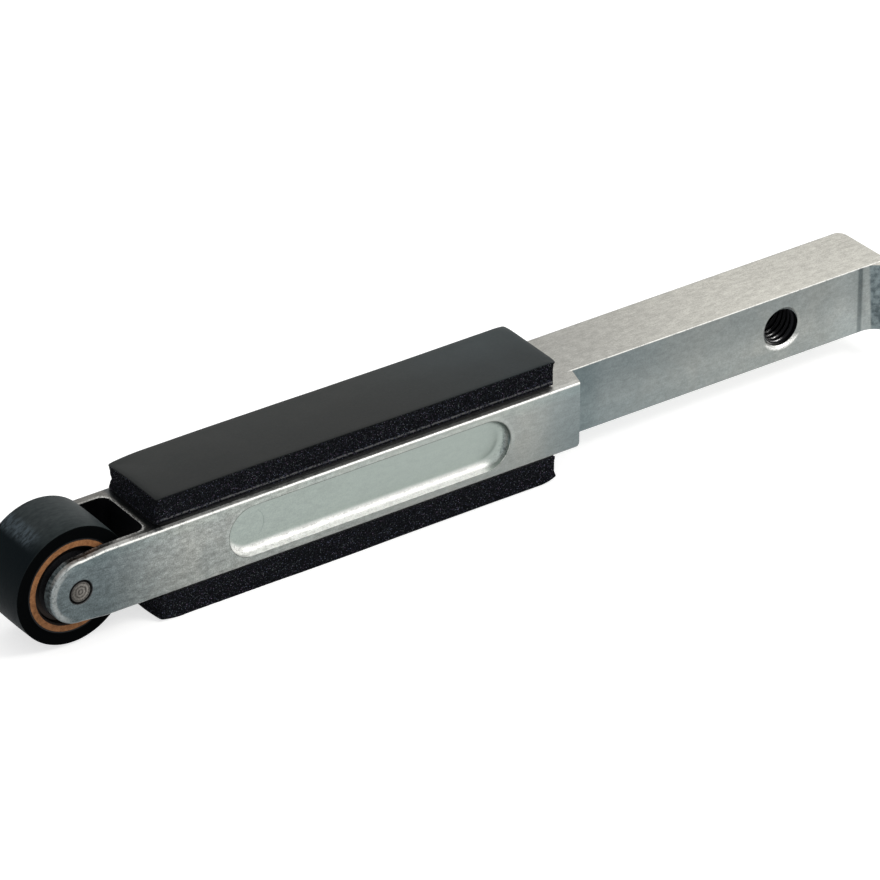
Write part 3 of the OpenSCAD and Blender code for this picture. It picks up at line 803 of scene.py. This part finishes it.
# The sponge's sides: how far they are drawn in everywhere and at mid height, the lip's depth and round,
# and the share of the height, at the base and at the top, over which the pores come and go
SIDE_INSET, SIDE_WAIST = 0.06 * MM, 0.3 * MM
LIP_DEPTH, LIP_ROUND = 0.18 * MM, 0.12 * MM
BASE_CALM, TOP_CALM = 0.08, 0.05
TEAR_BELOW_FACE, TEAR_R, TEAR_DEPTH = 2.9 * MM, 0.7 * MM, 0.5 * MM
# The pores' size, their depth, and their reach as a share of their size, and the slower waves and swells
PORE, PORE_DEPTH, PORE_REACH = 0.42 * MM, 0.3 * MM, 0.62
WAVE, WAVE_DEPTH = 1.6 * MM, 0.1 * MM
SWELL, SWELL_MM = 11 * MM, 0.04


class PadShape:
    """The shape of one pad. It is worked out upright, and the lower pad is turned over as it is made."""

    def __init__(self, side):
        self.side = side
        self.up = side == "upper"
        self.form = PAD_FORMS[side]
        self.film_low, self.film_high = self.upright(*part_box(f"{side}_adhesive"))
        self.low, self.high = self.upright(*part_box(f"{side}_facing"))
        self.high.x += self.form["longer"] * MM
        self.half = (self.high.y - self.low.y) / 2
        corner = Vector((self.low.x, self.high.y))
        self.torn = Vector((corner.x, corner.y, self.face(corner) - TEAR_BELOW_FACE))

    def upright(self, low, high):
        """A solid's box, mirrored in Z for the lower pad."""
        if self.up:
            return low, high
        return Vector((low.x, low.y, -high.z)), Vector((high.x, high.y, -low.z))

    def face(self, p):
        """The height of the smooth face at a place."""
        low, high, form = self.low, self.high, self.form
        along = (p.x - low.x) / (high.x - low.x)
        across = (p.y - low.y) / (high.y - low.y)
        rise = form["left"] + (form["right"] - form["left"]) * smooth_step((along - FALL_START) / FALL_LENGTH)
        rise += form["back"] * across
        for end, depth, reach in form["ends"]:
            far = abs(p.x - (low.x, high.x)[end]) / (reach * MM)
            rise -= depth * max(0.0, 1 - far) ** 2
        for end, edge, depth, reach in form["corners"]:
            corner = Vector(((low.x, high.x)[end], (low.y, high.y)[edge]))
            far = (Vector((p.x, p.y)) - corner).length / (reach * MM)
            rise -= depth * max(0.0, 1 - far) ** 2
        swell = SWELL_MM * noise.noise(Vector((p.x, p.y, 0)) / SWELL)
        return high.z + (rise + swell) * MM

    def rim(self, corner_r, step):
        """The pad's outline, whose right end reaches less far at the back than at the front."""
        low, size = self.low, self.high - self.low
        less = self.form["askew"] * MM
        found = []
        for p, out in outline(self.low, self.high, corner_r, step):
            drawn = less * (p.x - low.x) / size.x * (p.y - low.y) / size.y
            found.append((p - Vector((drawn, 0)), out))
        return found

    def sheet_ring(self, rim, below, inward=0.0, share=0.0):
        """A ring so far below the face, in from the rim and, by a share, on its way to the middle line."""
        ring = []
        for p, out in rim:
            p = p - out * inward
            middle_x = min(max(p.x, self.low.x + self.half), self.high.x - self.half)
            q = p.lerp(Vector((middle_x, self.low.y + self.half)), share)
            ring.append(Vector((q.x, q.y, self.face(q) - below)))
        return ring

    def cut_point(self, p, out, t):
        """A point of the sponge's side at share t of its height: drawn in at mid height, open with pores."""
        form = self.form
        base_z = self.film_high.z
        lip_z = self.film_low.z + form["lip"] * MM
        left_waist, right_waist = form["waists"]
        z = base_z + (self.face(p) - FACING_EDGE_T - base_z) * t
        here = Vector((p.x, p.y, z))
        waist = max(out.x, 0) ** 2 * right_waist * MM + max(-out.x, 0) ** 2 * left_waist * MM
        waist += out.y ** 2 * SIDE_WAIST
        drawn_in = waist * (1 - (2 * t - 1) ** 2) + SIDE_INSET
        drawn_in += max(out.x, 0) * form["short_base"] * MM * (1 - t) ** 1.5
        drawn_in += LIP_DEPTH * max(-out.y, 0) * smooth_step((lip_z - z) / LIP_ROUND + 1)
        bite = (here - self.torn).length / TEAR_R
        drawn_in += TEAR_DEPTH * smooth_step(1.3 - bite)
        calm = min(1.0, t / BASE_CALM, (1 - t) / TOP_CALM)
        near, _ = noise.voronoi(here / PORE)
        pit = max(0.0, PORE_REACH - near[0]) * PORE_DEPTH
        wave = WAVE_DEPTH * noise.noise(here / WAVE)
        inward = drawn_in + calm * (pit + wave)
        return Vector((p.x - out.x * inward, p.y - out.y * inward, z))

    def film_rings(self):
        """The rings of the adhesive film, a thin plain slab."""
        inset = Vector((FILM_INSET, FILM_INSET, 0))
        rim = outline(self.film_low + inset, self.film_high - inset, FILM_CORNER_R, FILM_STEP)
        return [[Vector((p.x, p.y, z)) for p, _ in rim] for z in (self.film_low.z, self.film_high.z)]

    def foam_rings(self):
        """The rings of the sponge: its cut sides, and its top under the facing."""
        rim = self.rim(FOAM_CORNER_R, FOAM_STEP)
        rings = [[self.cut_point(p, out, i / FOAM_ROWS) for p, out in rim] for i in range(FOAM_ROWS + 1)]
        return rings + [self.sheet_ring(rim, FACING_EDGE_T, FOAM_TOP_INSET, share) for share in INWARD]

    def facing_rings(self):
        """The rings of the facing: its underside, its rounded edge and its face."""
        rim = self.rim(FACING_CORNER_R, FACING_STEP)
        edge_round = FACING_EDGE_T * 0.7
        widest = FACING_EDGE_T * 0.8
        rings = [self.sheet_ring(rim, FACING_EDGE_T, UNDERSIDE_INSET, share) for share in reversed(INWARD)]
        rings += [self.sheet_ring(rim, FACING_EDGE_T, UNDERSIDE_INSET), self.sheet_ring(rim, widest)]
        for i in range(FACING_ROUND_STEPS + 1):
            angle = math.pi / 2 * i / FACING_ROUND_STEPS
            below = edge_round * (1 - math.sin(angle))
            inward = edge_round * (1 - math.cos(angle))
            rings.append(self.sheet_ring(rim, below, inward))
        return rings + [self.sheet_ring(rim, 0.0, edge_round, share) for share in INWARD]

    def piece(self, layer, rings, material, slot, smooth=True):
        """One layer of the pad as a piece on the arm, from its rings."""
        points, faces = stacked(rings)
        if not self.up:
            points = [Vector((p.x, p.y, -p.z)) for p in points]
            faces = [tuple(reversed(face)) for face in faces]
        return mesh_piece(f"{self.side}_pad_{layer}", points, faces, material, "arm", smooth)


def pad(side, film_material, foam_material, facing_material):
    """One pad: its adhesive film, its cut sponge and its smooth facing, each in its solid's place."""
    shape = PadShape(side)
    film = shape.piece("film", shape.film_rings(), film_material, "adhesive_tape", smooth=False)
    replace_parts(film, f"{side}_adhesive")
    foam = shape.piece("foam", shape.foam_rings(), foam_material, "sponge")
    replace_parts(foam, f"{side}_sponge")
    sheet = shape.piece("facing", shape.facing_rings(), facing_material, "pad_facing")
    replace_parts(sheet, f"{side}_facing")


def soften_edges(node, width):
    """Breaks a solid's sharp edges by a small round, as a barrel finish leaves them."""
    sharp_from = math.radians(35)
    piece = nodes[node]
    weld = piece.modifiers.new("weld", "WELD")
    weld.merge_threshold = 0.001 * MM
    bevel = piece.modifiers.new("broken_edges", "BEVEL")
    bevel.width = width
    bevel.segments = 2
    bevel.limit_method = "ANGLE"
    bevel.angle_limit = sharp_from
    bevel.harden_normals = True
    bevel.use_clamp_overlap = True


def paint(names, material):
    """Gives some CAD nodes a material."""
    for name in names:
        piece = nodes[name]
        piece.data.materials.clear()
        piece.data.materials.append(material)


def place_camera():
    """The camera at the photograph's angle, from a fit of the arm's edges."""
    azimuth, elevation, roll = math.radians(-34.96), math.radians(31.51), math.radians(-0.54)
    focal_px, image_px, sensor_mm = 10375, 880, 36.0
    aim = Vector((-77.4, 0.0, -1.47)) * MM
    distance = 1979.5 * MM
    nearest, farthest = 0.1, 50
    right = Vector((math.cos(azimuth), math.sin(azimuth), 0))
    back = Vector((math.sin(azimuth) * math.cos(elevation), -math.cos(azimuth) * math.cos(elevation),
                   math.sin(elevation)))
    up = back.cross(right)
    turned_right = right * math.cos(roll) - up * math.sin(roll)
    turned_up = right * math.sin(roll) + up * math.cos(roll)
    data = bpy.data.cameras.new("camera")
    data.sensor_width = sensor_mm
    data.lens = focal_px * sensor_mm / image_px
    data.clip_start, data.clip_end = nearest, farthest
    camera = bpy.data.objects.new("camera", data)
    bpy.context.scene.collection.objects.link(camera)
    axes = Matrix((turned_right, turned_up, back)).transposed().to_4x4()
    camera.matrix_world = Matrix.Translation(aim + back * distance) @ axes
    bpy.context.scene.camera = camera


# The lamps: name, direction from the arm's middle, distance and size in metres, power in watts, and colour
LAMPS = (
    ("key", (0.49, -0.52, 0.70), 0.9, 0.3, 3.0, (1.0, 0.98, 0.95)),
    ("over_back", (0.62, 0.60, 0.50), 0.45, 0.35, 0.32, (1.0, 0.96, 0.90)),
    ("left", (-0.85, -0.35, 0.4), 0.9, 0.35, 0.4, (0.88, 0.95, 1.0)),
)


def softbox(name, direction, distance, size, power, colour):
    """A square lamp that faces the middle of the arm."""
    middle = Vector((-70, 0, 0)) * MM
    data = bpy.data.lights.new(name, "AREA")
    data.shape = "SQUARE"
    data.size = size
    data.energy = power
    data.color = colour
    lamp = bpy.data.objects.new(name, data)
    out = Vector(direction).normalized()
    lamp.location = middle + out * distance
    lamp.rotation_mode = "QUATERNION"
    lamp.rotation_quaternion = (-out).to_track_quat("-Z", "Y")
    lamp.visible_camera = False
    bpy.context.scene.collection.objects.link(lamp)


def white_world():
    """A world that shows white and gives more light from the right than from the left."""
    left_light, right_light, shown = 0.3, 0.94, 1.0
    world = bpy.data.worlds.new("studio")
    bpy.context.scene.world = world
    world.use_nodes = True
    s = Nodes(world.node_tree)
    direction = s.add("ShaderNodeTexCoord").outputs["Generated"]
    x = s.add("ShaderNodeSeparateXYZ", {0: direction}).outputs["X"]
    ends = {"Value": x, "From Min": -1.0, "From Max": 1.0, "To Min": left_light, "To Max": right_light}
    light = s.add("ShaderNodeMapRange", ends).outputs[0]
    strength = s.add("ShaderNodeMix", {0: s.shown_white(), 2: light, 3: shown}, data_type="FLOAT").outputs[0]
    background = s.tree.nodes["Background"]
    s.put(background.inputs["Strength"], strength)
    s.put(background.inputs["Color"], (1, 1, 1, 1))


def pale_floor():
    """A pale floor that keeps the object's shadow and otherwise shows white."""
    half, gap = 6.0, 0.05 * MM
    grey, glow = (0.6, 0.6, 0.6, 1), 0.66
    floor_z = cad_box[0].z - gap
    corners = [(-half, -half, floor_z), (half, -half, floor_z), (half, half, floor_z), (-half, half, floor_z)]
    mesh = bpy.data.meshes.new("floor")
    mesh.from_pydata(corners, [], [(0, 1, 2, 3)])
    floor = bpy.data.objects.new("floor", mesh)
    bpy.context.scene.collection.objects.link(floor)
    s = Shader("floor_white", Base_Color=grey, Roughness=0.9, Specular_IOR_Level=0.1)
    s.set("Emission Color", (1, 1, 1, 1))
    s.set("Emission Strength", s.math("MULTIPLY", s.shown_white(), glow))
    mesh.materials.append(s.material)


def studio():
    """A white room: a white world, a pale floor and three soft lamps."""
    white_world()
    pale_floor()
    for lamp in LAMPS:
        softbox(*lamp)
    bpy.context.scene.view_settings.view_transform = "Standard"


def paint_nodes():
    """Gives every CAD node that stays its material."""
    spacer_steel = turned_steel("spacer_steel", (0.28, 0.28, 0.28), (0.5, 0.5, 0.5), 0.1 * MM)
    # Painted shade: the bearings' rings near black
    bearing_steel = ground_steel("bearing_steel", (0.022, 0.018, 0.016), 0.4)
    ball_steel = ground_steel("ball_steel", (0.75, 0.75, 0.76), 0.06)
    seal_rubber = moulded("seal_rubber", (0.006, 0.006, 0.007), (0.016, 0.016, 0.018), 0.5, 0.01 * MM)
    cage_plastic = moulded("cage_plastic", (0.42, 0.35, 0.22), (0.52, 0.44, 0.29), 0.45, 0.01 * MM)
    paint(["arm"], PlatedSteel().material)
    paint(["tyre"], tyre_rubber())
    paint(["hub_ring"], hub_laminate())
    paint(["bearing_spacer", "front_side_washer", "rear_side_washer"], spacer_steel)
    for side in ("front", "rear"):
        paint([f"{side}_outer_ring", f"{side}_inner_ring"], bearing_steel)
        paint([f"{side}_balls"], ball_steel)
        paint([f"{side}_cage"], cage_plastic)
        paint([f"{side}_face_seal", f"{side}_inner_seal"], seal_rubber)


def own_pieces():
    """Makes the pieces that stand for a CAD node or add to one."""
    wheel_pin(turned_steel("pin_steel", (0.045, 0.042, 0.038), (0.24, 0.225, 0.205), 0.7 * MM, 1.98 * MM))
    thread_ridge(thread_steel())
    film = moulded("adhesive_film", (0.004, 0.004, 0.005), (0.012, 0.012, 0.013), 0.6, 0.02 * MM)
    foam = sponge_rubber()
    facing = pad_facing()
    pad("upper", film, foam, facing)
    pad("lower", film, foam, facing)


place_camera()
studio()
paint_nodes()
soften_edges("arm", 0.12 * MM)
own_pieces()
